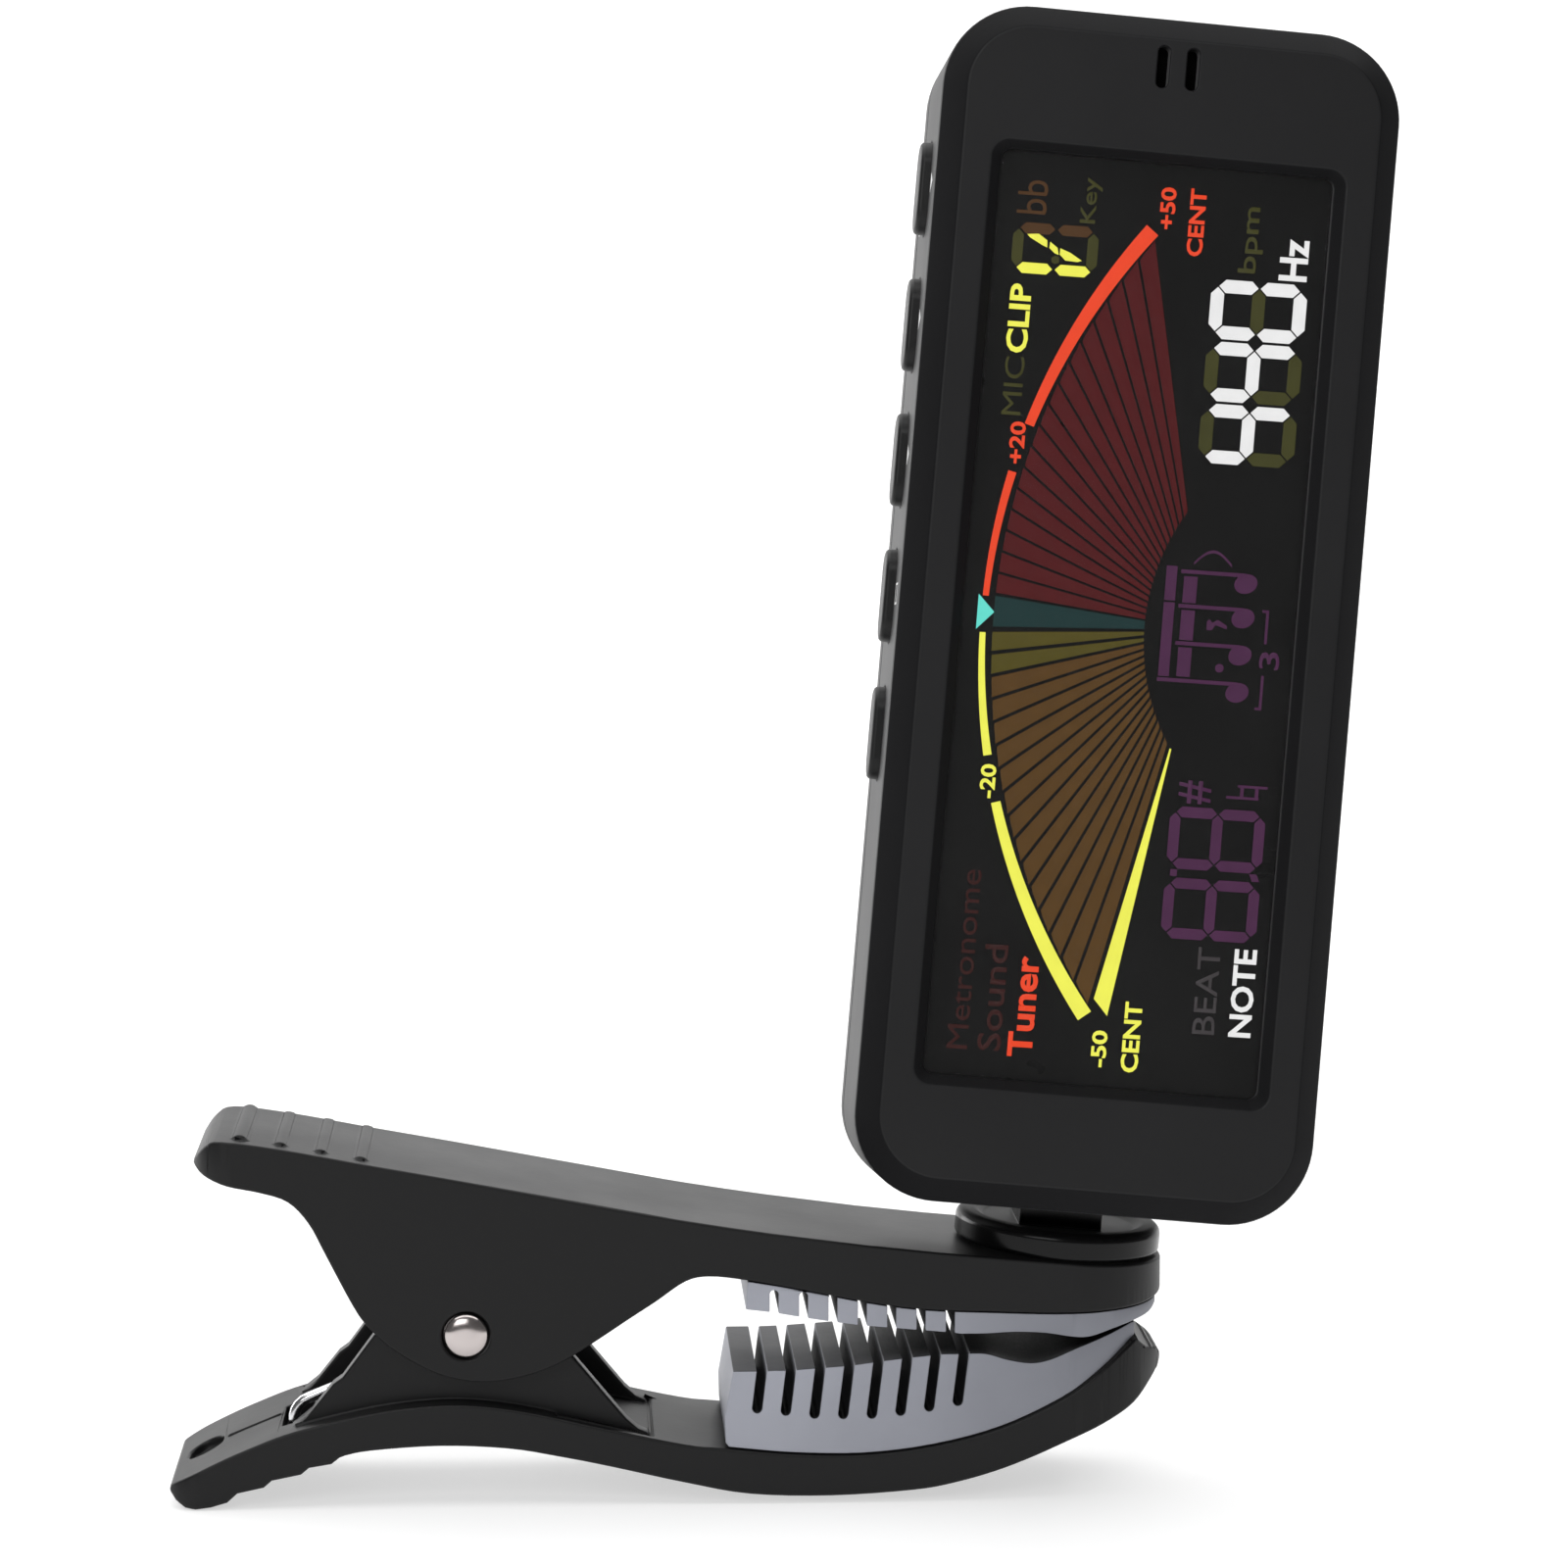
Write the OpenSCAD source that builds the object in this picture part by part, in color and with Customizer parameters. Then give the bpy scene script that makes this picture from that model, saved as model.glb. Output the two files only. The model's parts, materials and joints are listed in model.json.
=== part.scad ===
// Clip-on chromatic tuner and metronome: a sprung clip with two toothed
// rubber pads, a round swivel on the end of the upper arm, a tilt hinge,
// and an upright display head with five side buttons.
// Millimetres. X runs along the clip, -Y is the side the display faces, Z is up.
// The origin is the middle of the grip face on the rear tooth of the lower pad.

/* [Clip] */
// Width of both arms
arm_w = 15.4; // [14:0.1:17]
// Wall of the upper arm
arm_wall = 1.6; // [1.2:0.1:2]
// Thickness of the lower arm's two inner cheeks
cheek_t = 1.6; // [1.2:0.1:2]
// Radius of the rivet's shank
rivet_r = 1.2; // [1:0.05:1.4]
// Width of the slots between the lower pad's teeth
slot_w = 0.75; // [0.5:0.05:0.9]
// Width of the gaps between the upper pad's teeth
gap_w = 0.65; // [0.5:0.05:0.9]

/* [Swivel and tilt] */
// Radius of the swivel disc
disc_r = 7.75; // [7.2:0.05:8]
// Height of the swivel disc above the arm
disc_h = 2.2; // [2:0.1:2.6]
// Lean of the swivel axis towards the clip's nose
swivel_tilt = 5.3; // [5:0.1:5.6]
// Height of the tilt pin above the disc
pin_h = 5.05; // [4.6:0.05:5.2]
// Lean of the head away from the display side
head_lean = 7; // [0:0.5:12]
// Width of the neck between the hinge ears
neck_w = 6.2; // [5.6:0.1:6.4]

/* [Head] */
// Length of the head
head_l = 87.6; // [86:0.1:90]
// Width of the head
head_w = 33.8; // [33:0.1:35]
// Depth of the head
head_d = 18.3; // [18.2:0.05:19]
// Corner radius of the head's outline
head_r = 6.3; // [5.5:0.1:7]
// Depth of the front half of the case
front_d = 13.1; // [12.6:0.1:13.4]
// Wall of the case
case_wall = 1.4; // [1.2:0.1:1.6]
// Length of a side button
btn_l = 6.9; // [6:0.1:7.2]
// Width of a side button
btn_w = 3.45; // [3:0.05:3.6]
// Height of a side button above the case
btn_up = 0.8; // [0.5:0.1:1]

/* [Hidden] */
hw = arm_w / 2;
// the grip face, measured from the centre of the swivel disc's top
grip = [-24.1, 0, -10.1];
// the clip's pivot, measured from the same point
piv = [-44.6, -7.2];
// tilt pin in the head: distance behind the front face, height above the bottom
pin_w = 14.1;
pin_v = 4;
slot_h = neck_w / 2 + 0.45;
btn_depth = 7.7;
btn_top = [13.28, 23.44, 33.48, 43.59, 53.8];
// the neck and the head stand a little to the rear of the disc's middle
neck_x = -0.17;
screw_at = [[-11.6, 4.9], [11.6, 4.9], [-11.6, 82.1], [11.6, 82.1]];

// ---------- helpers ----------
module place() { translate(-grip) children(); }
// swivel frame: Z along the swivel axis, zero on the disc's top
module swivel_frame() { place() rotate([0, swivel_tilt, 0]) children(); }
// head frame: X across, Y from the front face backwards, Z up from the bottom
module head_frame() {
  swivel_frame() translate([neck_x, 0, pin_h]) rotate([-head_lean, 0, 0])
    translate([0, -pin_w, -pin_v]) children();
}
// a smooth open curve through hand-set points
function cr(a, b, c, d, t) = 0.5 * ((2 * b) + (c - a) * t
  + (2 * a - 5 * b + 4 * c - d) * t * t + (3 * b - a - 3 * c + d) * t * t * t);
function curve(p, n) = let (m = len(p) - 1) concat(
  [for (i = [0:m - 1]) for (k = [0:n - 1])
    cr(p[max(i - 1, 0)], p[i], p[i + 1], p[min(i + 2, m)], k / n)], [p[m]]);
// a side-view outline made solid between two depths
module side(pts, y1, y2) {
  translate([0, y2, 0]) rotate([90, 0, 0]) linear_extrude(y2 - y1) polygon(pts);
}
module rod_y(x, z, r, y1, y2, f = 48) {
  translate([x, y2, z]) rotate([90, 0, 0]) cylinder(r = r, h = y2 - y1, $fn = f);
}
// plan of an arm: square-sided strip with rounded corners
module plan(x1, x2, w, r1, r2, z1, z2) {
  translate([0, 0, z1]) linear_extrude(z2 - z1) {
    translate([x1 + r1, -w / 2]) square([x2 - x1 - r1 - r2, w]);
    translate([x1, -w / 2 + r1]) square([r1 + 1, w - 2 * r1]);
    translate([x2 - r2 - 1, -w / 2 + r2]) square([r2 + 1, w - 2 * r2]);
    for (s = [-1, 1]) {
      translate([x1 + r1, s * (w / 2 - r1)]) circle(r1, $fn = 48);
      translate([x2 - r2, s * (w / 2 - r2)]) circle(r2, $fn = 64);
    }
  }
}
// rounded rectangle in the head's front view, as a plate between two depths
module face(w, l, r, d1, d2, cz = head_l / 2) {
  translate([0, d2, cz]) rotate([90, 0, 0]) linear_extrude(d2 - d1) {
    square([w - 2 * r, l], center = true);
    square([w, l - 2 * r], center = true);
    for (x = [-1, 1]) for (z = [-1, 1])
      translate([x * (w / 2 - r), z * (l / 2 - r)]) circle(r, $fn = 64);
  }
}
module box(x1, x2, y1, y2, z1, z2) {
  translate([x1, y1, z1]) cube([x2 - x1, y2 - y1, z2 - z1]);
}
// stadium-shaped rod along X, its length along Z
module stadium_x(l, w, x1, x2) {
  translate([x1, 0, 0]) rotate([90, 0, 90]) linear_extrude(x2 - x1) {
    square([w, l - w], center = true);
    for (s = [-1, 1]) translate([0, s * (l - w) / 2]) circle(w / 2, $fn = 48);
  }
}

// ---------- lower jaw ----------
lower_top = curve([[-66.5, -18.3], [-63.1, -16.6], [-60.6, -15.5], [-58, -14.5],
  [-55, -13.7], [-51.3, -12.9], [-48.1, -12.5], [-45, -12.4], [-41.9, -12.7],
  [-38.7, -13.3], [-34, -14.4], [-28.4, -15.6], [-25.7, -15.9], [-20.5, -16.4],
  [-15.2, -16.5], [-10, -15.9], [-5, -14.6], [-0.5, -12.5], [2.4, -10.5],
  [4.4, -8.95], [5.3, -8.3]], 4);
lower_bottom = curve([[5.7, -8.75], [6.15, -9.15], [6.65, -9.4], [7.12, -9.68], [7.42, -10.1], [7.42, -10.6],
  [7.1, -11.25], [6.5, -11.9], [5.1, -13.25], [2.9, -14.4], [0.5, -15.45], [-2.5, -16.8],
  [-5.4, -17.9], [-8.5, -18.75], [-11.5, -19.25], [-17.6, -19.6],
  [-23.6, -19.4], [-28.4, -18.5], [-34, -17.2], [-37.8, -16.4],
  [-41.6, -15.75], [-46.6, -15.5], [-51.7, -15.8], [-53.6, -16.15]], 4);
// finger grip under the handle: a run of shallow steps
lower_grip = [[-54, -16.3], [-54.6, -16.78], [-56.25, -17.05], [-56.85, -17.55], [-59, -17.98],
  [-59.6, -18.5], [-61.55, -18.92], [-62.3, -19.6], [-63.5, -19.95], [-64.65, -20.1],
  [-65.4, -20], [-66.1, -19.55], [-66.6, -18.9]];
cheek = concat([[-58, -15], [-57.6, -14.4], [-56.1, -13.1], [-54.5, -11.1],
  [-53.8, -10.6], [-51.5, -7.5], [-49.3, -5.1]],
  [for (a = [135:-10:35]) [piv[0] + 4.9 * cos(a), piv[1] + 4.9 * sin(a)]],
  [[-39.3, -6], [-36.7, -9.2], [-34, -12.5], [-32.75, -14], [-31.9, -14.75], [-31.1, -15.1],
  [-31.1, -16], [-36, -15.2]]);
module lower_arm() {
  color([0.1, 0.1, 0.105]) place() difference() {
    union() {
      difference() {
        intersection() {
          side(concat(lower_top, lower_bottom, lower_grip), -hw, hw);
          plan(-67.2, 7.8, arm_w, 3, 7.6, -30, 5);
        }
        // sunk floor between the cheeks
        translate([-30.8, 0, -15.12]) rotate([0, 12.8, 0]) box(-7.4, 0, -6.8, 5.3, -0.32, 3);
      }
      for (s = [-1, 1]) side(cheek, s > 0 ? 6 - cheek_t : -6, s > 0 ? 6 : -6 + cheek_t);
      // cross wall that stiffens the cheeks
      side([[-35.6, -15.2], [-34.6, -15.2], [-36.6, -11.8], [-37.6, -11.8]], -5, 5);
    }
    rod_y(piv[0], piv[1], rivet_r, -10, 10);
    // oval dimple and a fine groove on the inner face of the handle
    translate([-64.35, 0, -17.2]) rotate([0, -26.6, 0]) {
      for (y = [-0.6, 0.6]) translate([0, y, -0.7]) cylinder(r = 1.4, h = 4, $fn = 48);
      box(-1.4, 1.4, -0.6, 0.6, -0.7, 4);
    }
    translate([-60.7, -0.2, -15.55]) rotate([0, -22.4, 0]) box(-2.1, 2.2, -0.13, 0.13, -0.16, 1);
    // slot that takes the end of the spring
    box(-58.35, -56.2, -4.3, 1.8, -15.6, -10);
  }
}
// lower pad: a wedge of rubber with eight deep cross slots
lower_pad_under = [for (q = curve([[5.2, -8.25], [4.4, -8.9], [2.4, -10.45], [-0.5, -12.45],
  [-5, -14.55], [-10, -15.85], [-15.2, -16.45], [-20.5, -16.35], [-25.2, -15.9]], 4)) q + [0, 0.07]];
lower_pad_over = concat([[-25.45, -15.5], [-25.5, -13.6], [-24.9, -10.1], [-22.3, -10.1],
  [-20.6, -10.05], [-18.4, -9.9], [-16.2, -9.75], [-14, -9.45], [-11.9, -9.2], [-9.3, -8.95]],
  curve([[-8.2, -8.95], [-6.2, -8.95], [-4.6, -9.4], [-2.8, -9.7], [-1.3, -9.45],
  [0.6, -8.65], [2, -8.15], [3.6, -7.6], [4.9, -7.15]], 4), [[5.2, -7.2]]);
slot_bottom = [-12.9, -13.1, -13.35, -13.4, -13.4, -13.2, -12.9, -12.5];
module lower_pad() {
  color([0.55, 0.56, 0.6]) place() difference() {
    intersection() {
      side(concat(lower_pad_over, lower_pad_under), -hw + 0.15, hw - 0.15);
      plan(-27, 6.9, arm_w - 0.3, 0.6, 7, -30, 5);
    }
    for (i = [0:7]) translate([-23.1 + 2.13 * i, 0, slot_bottom[i]]) rotate([0, 7, 0]) {
      box(-slot_w / 2, slot_w / 2, -9, 9, 0, 8);
      rod_y(0, 0, slot_w / 2, -9, 9, 24);
    }
  }
}
module pivot_rivet() {
  color([0.86, 0.84, 0.84]) place() translate([piv[0], 0, piv[1]]) rotate([90, 0, 0]) {
    cylinder(r = rivet_r, h = 15, center = true, $fn = 64);
    // domed heads on both ends
    for (s = [0, 1]) mirror([0, 0, s]) translate([0, 0, hw - 0.45])
      rotate_extrude($fn = 64) polygon(concat([[0, 0], [1.68, 0]],
        [for (a = [0:15:90]) [0.35 + 1.33 * cos(a), 0.2 + 0.62 * sin(a)]], [[0, 0.82]]));
  }
}
// torsion spring: a swept wire, coils round the rivet and one leg along each handle
sp_r = 3; sp_n = 4; wire = 0.45;
function sp_coil(a) = [piv[0] + sp_r * cos(a), -2.7 + 5.4 * (a - 205) / (360 * sp_n - 50), piv[1] + sp_r * sin(a)];
sp_path = concat([[-57.5, -2.7, -15], [-57.55, -2.7, -14.2], [-57.2, -2.7, -13.4], [-56.4, -2.7, -12.85],
  [-52, -2.7, -11.1], [-48.6, -2.7, -9.9]],
  [for (a = [225:22.5:225 + 360 * sp_n - 90]) sp_coil(a)],
  [[-48.4, 2.7, -4.2], [-51, 2.7, -0.8], [-54.3, 2.7, 3.5]]);
function unit(v) = v / norm(v);
module sweep(p, r, s) {
  n = len(p);
  t = [for (i = [0:n - 1]) unit(p[min(i + 1, n - 1)] - p[max(i - 1, 0)])];
  ring = [for (i = [0:n - 1]) let (a = unit(cross(t[i], [0, 1, 0])), b = cross(a, t[i]))
    [for (k = [0:s - 1]) p[i] + r * (cos(360 * k / s) * a + sin(360 * k / s) * b)]];
  polyhedron([for (q = ring) for (v = q) v], concat(
    [for (i = [0:n - 2]) for (k = [0:s - 1])
      [i * s + k, i * s + (k + 1) % s, (i + 1) * s + (k + 1) % s, (i + 1) * s + k]],
    [[for (k = [s - 1:-1:0]) k]], [[for (k = [0:s - 1]) (n - 1) * s + k]]));
}
module torsion_spring() { color([0.8, 0.8, 0.82]) place() sweep(sp_path, wire, 8); }

// ---------- upper jaw ----------
tilt_z = tan(swivel_tilt);
upper_top = concat(curve([[-64.5, 6], [-63.7, 7], [-62.4, 7.45], [-58, 6.85], [-52, 5.7],
  [-46, 4.6], [-40, 3.45], [-34, 2.3], [-28, 1.2], [-22, 0.25], [-15, -0.7]], 4),
  [[-9.5, -disc_h + 9.5 * tilt_z], [8, -disc_h - 8 * tilt_z]]);
upper_bottom = curve([[8, -5.1], [7.6, -5.5], [6.4, -5.75], [4.4, -5.87], [-1, -5.95],
  [-5.5, -5.8], [-10.4, -5.6], [-14.6, -5.05], [-20.6, -3.85], [-23.9, -3.25],
  [-26.6, -2.95], [-28.4, -3.3], [-30.6, -4.8], [-32.6, -6.1], [-35, -7.7],
  [-37.6, -9.3], [-40.3, -10.3], [-43.4, -10.7], [-46.6, -10.1], [-49.7, -8.4],
  [-51.7, -6.6], [-52.9, -4.9], [-54.9, -1], [-56.1, 1.3], [-57.6, 2.9],
  [-59.6, 3.6], [-62, 4.1], [-63.8, 4.8], [-64.6, 5.5]], 4);
// room inside the channel: follows the top, one wall lower
channel = concat([[-62.6, 2], [-62.6, 5.5], [-58, 4.95], [-52, 3.85], [-46, 2.75],
  [-40, 1.6], [-34, 0.5], [-28, -0.6], [-22, -1.55], [-15, -2.5],
  [-9.5, -disc_h - 1.8 + 9.5 * tilt_z], [5.6, -disc_h - 1.8 - 5.6 * tilt_z],
  [5.6, -14], [-62.6, -14]]);
module upper_arm() {
  color([0.1, 0.1, 0.105]) difference() {
    place() difference() {
      union() {
        intersection() {
          side(concat(upper_top, upper_bottom), -hw, hw);
          plan(-64.7, 7.65, arm_w, 3, 7.4, -30, 12);
        }
        // four grip ribs across the handle
        for (i = [0:3]) rod_y(-61.2 + 2.95 * i, 7 - 0.56 * i, 0.7, -6.2, 6.9, 32);
      }
      intersection() {
        side(channel, -hw + arm_wall, hw - arm_wall);
        plan(-66, 5.8, arm_w - 2 * arm_wall, 1, 5, -30, 12);
      }
      rod_y(piv[0], piv[1], rivet_r + 0.05, -10, 10);
      rod_y(piv[0], piv[1], 1.8, -10, -hw + 0.5);
      rod_y(piv[0], piv[1], 1.8, hw - 0.5, 10);
    }
    swivel_frame() translate([0, 0, -6]) cylinder(r = 3.05, h = 5, $fn = 64);
  }
}
// upper pad: a tongue that fills the channel, and seven teeth
upper_pad_face = concat([[-23.8, -3.4], [-23.95, -5.45], [-21.9, -5.7], [-19.7, -6.1],
  [-17.5, -6.45], [-15.3, -6.75], [-13.1, -6.95], [-10.9, -7.15], [-8.7, -7.35]],
  curve([[-8, -7.45], [-6.1, -7.45], [-4, -7.35], [-1.7, -7.45], [0.2, -7.75],
  [1.6, -7.8], [3.4, -7.35], [5, -7.02], [6.4, -6.75], [7.1, -6.35]], 3),
  curve([[7.1, -5.85], [4.4, -5.94], [-1, -6.02], [-5.5, -5.87],
  [-10.4, -5.65], [-14.6, -5.1], [-20.6, -3.9], [-23.7, -3.35]], 4));
module upper_pad() {
  color([0.55, 0.56, 0.6]) difference() {
    place() difference() {
      union() {
        intersection() {
          side(upper_pad_face, -hw + 0.15, hw - 0.15);
          plan(-25, 7.3, arm_w - 0.3, 0.6, 7.1, -30, 12);
        }
        // tongue in the channel
        intersection() {
          side([[-22, -3.5], [-22, -2], [-15, -2.9], [-9.5, -3.45], [4.6, -4.75],
            [4.6, -6.2], [-10, -6], [-16, -5]], -hw + arm_wall + 0.1, hw - arm_wall - 0.1);
          plan(-25, 4.7, arm_w - 2 * arm_wall - 0.2, 0.5, 4.6, -30, 12);
        }
      }
      for (i = [0:6]) translate([-21.85 + 2.18 * i, 0, -4.35 - 0.17 * i]) {
        box(-gap_w / 2, gap_w / 2, -9, 9, -5, 0);
        rod_y(0, 0, gap_w / 2, -9, 9, 24);
      }
    }
    // pocket for the swivel's washer and screw
    swivel_frame() translate([0, 0, -5.95]) cylinder(r = 4.6, h = 5, $fn = 64);
  }
}

// ---------- swivel ----------
module swivel_base() {
  color([0.09, 0.09, 0.095]) swivel_frame() difference() {
    union() {
      rotate_extrude($fn = 96) polygon(concat(
        [[0, -4.45], [3, -4.45], [3, -disc_h + 0.12], [disc_r - 0.25, -disc_h + 0.12], [disc_r, -disc_h + 0.4]],
        [for (a = [0:15:90]) [disc_r - 0.7 + 0.7 * cos(a), -0.7 + 0.7 * sin(a)]],
        [[6.5, 0], [6.1, -0.15], [5.7, -0.45], [0, -0.45]]));
      box(neck_x - neck_w / 2, neck_x + neck_w / 2, -3.2, 3.2, -0.6, pin_h);
      translate([neck_x - neck_w / 2, 0, pin_h]) rotate([0, 90, 0]) cylinder(r = 3.2, h = neck_w, $fn = 64);
    }
    translate([-5, 0, pin_h]) rotate([0, 90, 0]) cylinder(r = 1.03, h = 10, $fn = 48);
    translate([0, 0, -5]) cylinder(r = 1.05, h = 4.6, $fn = 32);
  }
}
module swivel_washer() {
  color([0.75, 0.75, 0.77]) swivel_frame() translate([0, 0, -4.85]) difference() {
    cylinder(r = 4.2, h = 0.4, $fn = 64);
    translate([0, 0, -1]) cylinder(r = 1.1, h = 3, $fn = 32);
  }
}
module swivel_screw() {
  color([0.7, 0.7, 0.72]) swivel_frame() difference() {
    union() {
      translate([0, 0, -5.75]) cylinder(r = 2.1, h = 0.9, $fn = 48);
      translate([0, 0, -5]) cylinder(r = 1, h = 4.2, $fn = 32);
    }
    for (a = [0, 90]) rotate(a) box(-1.2, 1.2, -0.25, 0.25, -6, -5.35);
  }
}

// ---------- head: case ----------
module outer_front() {
  hull() {
    face(head_w - 3.4, head_l - 3.6, head_r - 1.7, 0, 0.05);
    face(head_w - 0.24, head_l - 0.24, head_r - 0.12, 1.75, 1.8);
    face(head_w, head_l, head_r, 2.1, front_d);
  }
}
module outer_rear() {
  hull() {
    face(head_w, head_l, head_r, front_d + 0.3, head_d - 3);
    face(head_w - 1, head_l - 1, head_r - 0.5, head_d - 1.7, head_d - 1.6);
    face(head_w - 2.6, head_l - 2.6, head_r - 1.3, head_d - 0.7, head_d - 0.6);
    face(head_w - 5.6, head_l - 5.6, head_r - 2.8, head_d - 0.1, head_d);
  }
  face(head_w - 0.5, head_l - 0.5, head_r - 0.25, front_d, front_d + 1);
}
module hinge_slot() {
  box(-slot_h, slot_h, pin_w - 3.5, head_d + 3, -1, pin_v + 3.5);
}
module front_shell() {
  color([0.12, 0.12, 0.13]) head_frame() {
    difference() {
      outer_front();
      face(head_w - 3.2, head_l - 3.2, head_r - 1.6, case_wall, head_d);
      // display opening with a sloping rim
      hull() {
        face(26.05, 68.9, 1.3, -0.01, 0, 43);
        face(24.5, 67.6, 0.8, 0.8, 0.81, 43.1);
      }
      face(24.5, 67.6, 0.8, 0.5, case_wall + 1, 43.1);
      // microphone slots
      for (s = [-1, 1]) translate([s * 1.08, -1, head_l - 3.85]) rotate([-90, 0, 0])
        linear_extrude(5) { square([0.87, 2.2], center = true);
          for (k = [-1, 1]) translate([0, k * 1.1]) circle(0.435, $fn = 24); }
      for (b = btn_top) translate([-head_w / 2, btn_depth, head_l - b])
        stadium_x(btn_l + 0.24, btn_w + 0.24, -2, 3);
      hinge_slot();
    }
    for (p = screw_at) difference() {
      translate([p[0], case_wall - 0.3, p[1]]) rotate([-90, 0, 0])
        cylinder(r = 1.9, h = front_d - case_wall + 0.25, $fn = 32);
      translate([p[0], 7, p[1]]) rotate([-90, 0, 0]) cylinder(r = 0.9, h = 9, $fn = 32);
    }
  }
}
module rear_shell() {
  color([0.12, 0.12, 0.13]) head_frame() difference() {
    union() {
      difference() {
        outer_rear();
        face(head_w - 3.2, head_l - 3.2, head_r - 1.6, front_d - 1, head_d - 1.6);
      }
      // hinge ears
      box(-6.3, 6.3, pin_w - 5, head_d - 1.2, 1.65, pin_v + 5.2);
      for (p = screw_at) translate([p[0], front_d + 0.05, p[1]]) rotate([-90, 0, 0])
        cylinder(r = 2.3, h = head_d - front_d - 0.6, $fn = 32);
      // guides that hold the cells
      for (s = [-1, 1]) box(s > 0 ? 10.6 : -11.4, s > 0 ? 11.4 : -10.6, 8, head_d - 1.2, 24.4, 72);
      box(-11.4, 11.4, 8, head_d - 1.2, 24, 24.8);
      box(-11.4, 11.4, 8, head_d - 1.2, 71.6, 72.4);
    }
    hinge_slot();
    translate([-6, pin_w, pin_v]) rotate([0, 90, 0]) cylinder(r = 1, h = 12, $fn = 48);
    // battery opening and the door's seat
    box(-10.6, 10.6, head_d - 4, head_d + 1, 24.8, 71.6);
    face(23.3, 50.3, 1.2, head_d - 1.45, head_d + 1, 48.2);
    for (p = screw_at) {
      translate([p[0], 5, p[1]]) rotate([-90, 0, 0]) cylinder(r = 1, h = 20, $fn = 32);
      translate([p[0], head_d - 1.4, p[1]]) rotate([-90, 0, 0]) cylinder(r = 1.75, h = 3, $fn = 32);
    }
  }
}
module hinge_pin() {
  color([0.78, 0.78, 0.8]) head_frame() translate([-5.9, pin_w, pin_v]) rotate([0, 90, 0])
    cylinder(r = 1, h = 11.8, $fn = 48);
}
module hinge_washers() {
  color([0.85, 0.85, 0.82]) head_frame() for (s = [-1, 1])
    translate([s * (slot_h - 0.19) - 0.15, pin_w, pin_v]) rotate([0, 90, 0]) difference() {
      cylinder(r = 2.7, h = 0.3, $fn = 48);
      translate([0, 0, -1]) cylinder(r = 1.05, h = 3, $fn = 48);
    }
}
module battery_door() {
  color([0.12, 0.12, 0.13]) head_frame() difference() {
    face(23, 50, 1.05, head_d - 1.4, head_d, 48.2);
    // thumb catch
    for (i = [0:4]) box(-4, 4, head_d - 0.35, head_d + 1, 66.2 + 1.1 * i, 66.7 + 1.1 * i);
  }
}
module case_screws() {
  color([0.35, 0.35, 0.37]) head_frame() for (p = screw_at)
    translate([p[0], 0, p[1]]) rotate([-90, 0, 0]) difference() {
      union() {
        translate([0, 0, 8]) cylinder(r = 0.88, h = head_d - 9, $fn = 32);
        translate([0, 0, head_d - 1.35]) cylinder(r = 1.6, h = 0.95, $fn = 32);
      }
      for (a = [0, 90]) rotate(a) box(-0.95, 0.95, -0.2, 0.2, head_d - 0.8, head_d + 1);
    }
}

// ---------- head: display and electronics ----------
module display_window() {
  color([0.1, 0.1, 0.12]) head_frame() face(24.3, 67.4, 0.75, 0.85, case_wall, 43.1);
}
module lcd_panel() {
  color([0.12, 0.12, 0.12]) head_frame() box(-13.3, 13.3, case_wall + 0.05, 3.05, 7.4, 79.2);
}
module lcd_backlight() {
  color([0.9, 0.9, 0.88]) head_frame() box(-13.2, 13.2, 3.1, 4.8, 10, 79);
}
module zebra_strip() {
  color([0.6, 0.3, 0.5]) head_frame() box(-12, 12, 3.1, 4.95, 7.5, 9.5);
}
module main_board() {
  color([0.1, 0.35, 0.2]) head_frame() box(-11.8, 14.3, 5, 6, 8, 79.4);
}
module controller_chip() {
  color([0.08, 0.08, 0.08]) head_frame() box(-4, 4, 6, 7.3, 13, 21);
}
module switch_board() {
  color([0.1, 0.35, 0.2]) head_frame() box(-12.9, -12.1, 6.2, 11.6, 29, 78);
}
module tact_switches() {
  color([0.75, 0.75, 0.77]) head_frame() for (b = btn_top)
    translate([0, btn_depth, head_l - b]) {
      box(-14, -12.9, -1.4, 1.4, -1.9, 1.9);
      translate([-14.35, 0, 0]) rotate([0, 90, 0]) cylinder(r = 0.8, h = 0.5, $fn = 32);
    }
}
module mic_capsule() {
  color([0.7, 0.7, 0.7]) head_frame() translate([0, case_wall + 0.1, head_l - 4])
    rotate([-90, 0, 0]) cylinder(r = 2.2, h = 2.4, $fn = 48);
}
module buzzer() {
  color([0.15, 0.15, 0.15]) head_frame() translate([0, head_d - 4.4, 17.2])
    rotate([-90, 0, 0]) cylinder(r = 6, h = 2.7, $fn = 64);
}
module piezo_sensor() {
  color([0.85, 0.7, 0.3]) head_frame() translate([0, pin_w - 5.7, 6])
    rotate([-90, 0, 0]) cylinder(r = 4, h = 0.6, $fn = 48);
}
module battery_cells() {
  color([0.3, 0.3, 0.32]) head_frame() for (s = [-1, 1]) translate([s * 5.2, 11.5, 0]) {
    translate([0, 0, 26.2]) cylinder(r = 5.1, h = 43.5, $fn = 64);
    translate([0, 0, s > 0 ? 69.7 : 25.5]) cylinder(r = 1.8, h = 0.7, $fn = 32);
  }
}
module battery_contacts() {
  color([0.8, 0.78, 0.7]) head_frame() {
    box(-9.6, 9.6, 8.4, 15, 70.9, 71.3);
    for (s = [-1, 1]) box(s > 0 ? 1 : -9.6, s > 0 ? 9.6 : -1, 8.4, 15, 24.9, 25.3);
  }
}
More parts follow.
